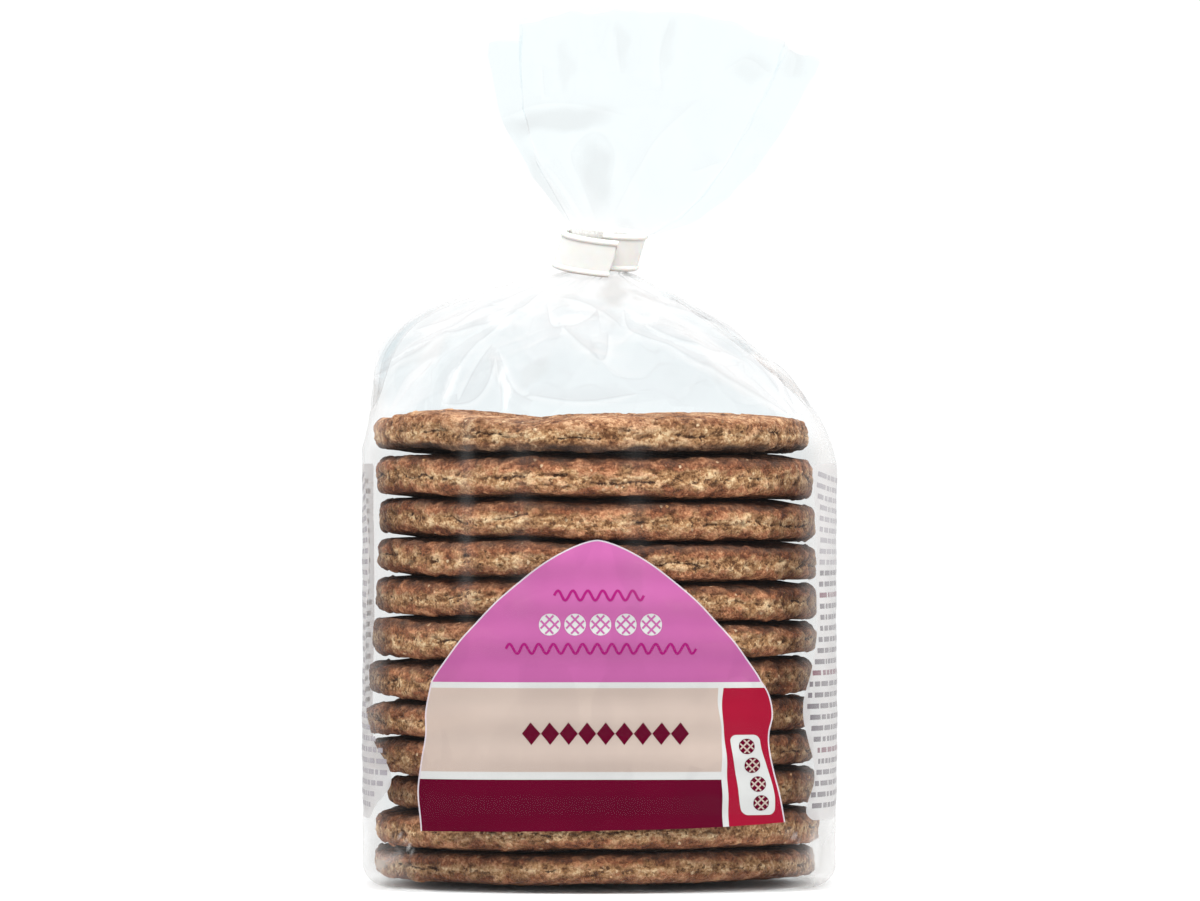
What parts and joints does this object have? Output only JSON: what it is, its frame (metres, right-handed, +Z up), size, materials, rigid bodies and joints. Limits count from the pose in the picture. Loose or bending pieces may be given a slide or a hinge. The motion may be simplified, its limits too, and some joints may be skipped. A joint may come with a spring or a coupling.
{
  "type": "bag of stroopwafels",
  "caption": "Clear film bag standing square round a stack of round syrup wafers, gathered into a neck by a wired strip with a pleated fan of film above.",
  "frame": {"origin": "centre of the flat base, on the surface that the bag stands on", "axes": "+Z up along the stack, -Y out of the printed front, +X to the right of someone facing the front"},
  "size_m": [0.1, 0.095, 0.1851],
  "materials": {
    "film": "gloss",
    "strip": "satin",
    "wafer": "matte",
    "print": "satin"
  },
  "bodies": {
    "root": {"bag": "film", "closing_strip": "strip"}
  },
  "joints": []
}
